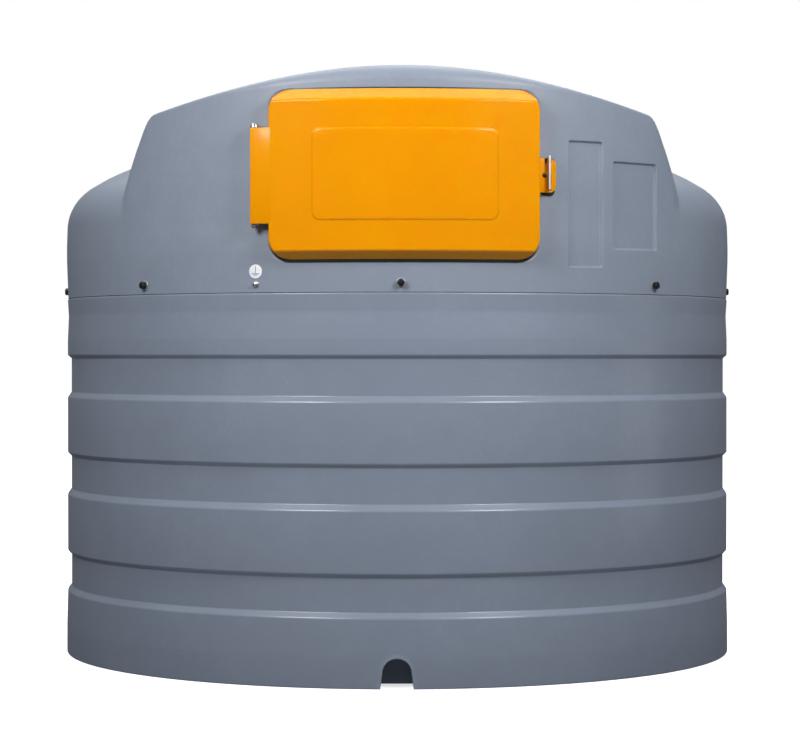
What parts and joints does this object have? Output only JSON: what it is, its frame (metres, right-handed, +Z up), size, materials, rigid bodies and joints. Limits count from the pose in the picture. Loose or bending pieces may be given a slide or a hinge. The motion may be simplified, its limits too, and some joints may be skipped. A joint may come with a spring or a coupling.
{
  "type": "vertical storage tank",
  "caption": "Round double-skinned moulded plastic storage tank with a ribbed outer wall, bolted vaulted cover and hinged cabinet door.",
  "frame": {"origin": "on the ground, at the tank's axis", "axes": "+Z up along the tank's axis, the front with the door faces -Y, +X to the right seen from the front"},
  "size_m": [2.3874, 2.4209, 2.0343],
  "materials": {
    "bund_grey": "satin rotomoulded polyethylene",
    "cover_grey": "satin rotomoulded polyethylene",
    "black_plastic": "satin",
    "door_orange": "semi-gloss moulded",
    "black_steel": "black oxide",
    "bright_steel": "zinc plated",
    "sign_white": "satin"
  },
  "bodies": {
    "tank": {"bund_floor": "bund_grey", "bund_wall_front": "bund_grey", "bund_wall_front_right": "bund_grey", "bund_wall_right": "bund_grey", "bund_wall_back_right": "bund_grey", "bund_wall_back": "bund_grey", "bund_wall_back_left": "bund_grey", "bund_wall_left": "bund_grey", "bund_wall_front_left": "bund_grey", "cover_front_left": "cover_grey", "cover_front_right": "cover_grey", "cover_sill": "cover_grey", "cover_head": "cover_grey", "cover_back_left": "cover_grey", "cover_back_middle": "cover_grey", "cover_back_right": "cover_grey", "cover_side_left": "cover_grey", "cover_side_right": "cover_grey", "cover_crown": "cover_grey", "cabinet_liner": "cover_grey", "hinge_boss": "cover_grey", "hinge_rod": "bright_steel", "latch_keeper": "cover_grey", "hasp_blade": "bright_steel", "hatch_collar": "cover_grey", "hatch_lid": "black_plastic", "vent_cap": "cover_grey", "earth_bolt": "bright_steel", "earth_sign": "sign_white", "cover_bolt_1": "black_steel", "cover_bolt_2": "black_steel", "cover_bolt_3": "black_steel", "cover_bolt_4": "black_steel", "cover_bolt_5": "black_steel", "cover_bolt_6": "black_steel", "cover_bolt_7": "black_steel", "cover_bolt_8": "black_steel"},
    "door": {"door": "door_orange", "latch_screw": "black_steel"}
  },
  "joints": [
    {"name": "door_hinge", "type": "hinge", "parent": "tank", "child": "door", "pos_m": [-0.46113, -1.11328, 1.611], "axis": [0, 0, -1], "range_deg": [0, 100]}
  ]
}
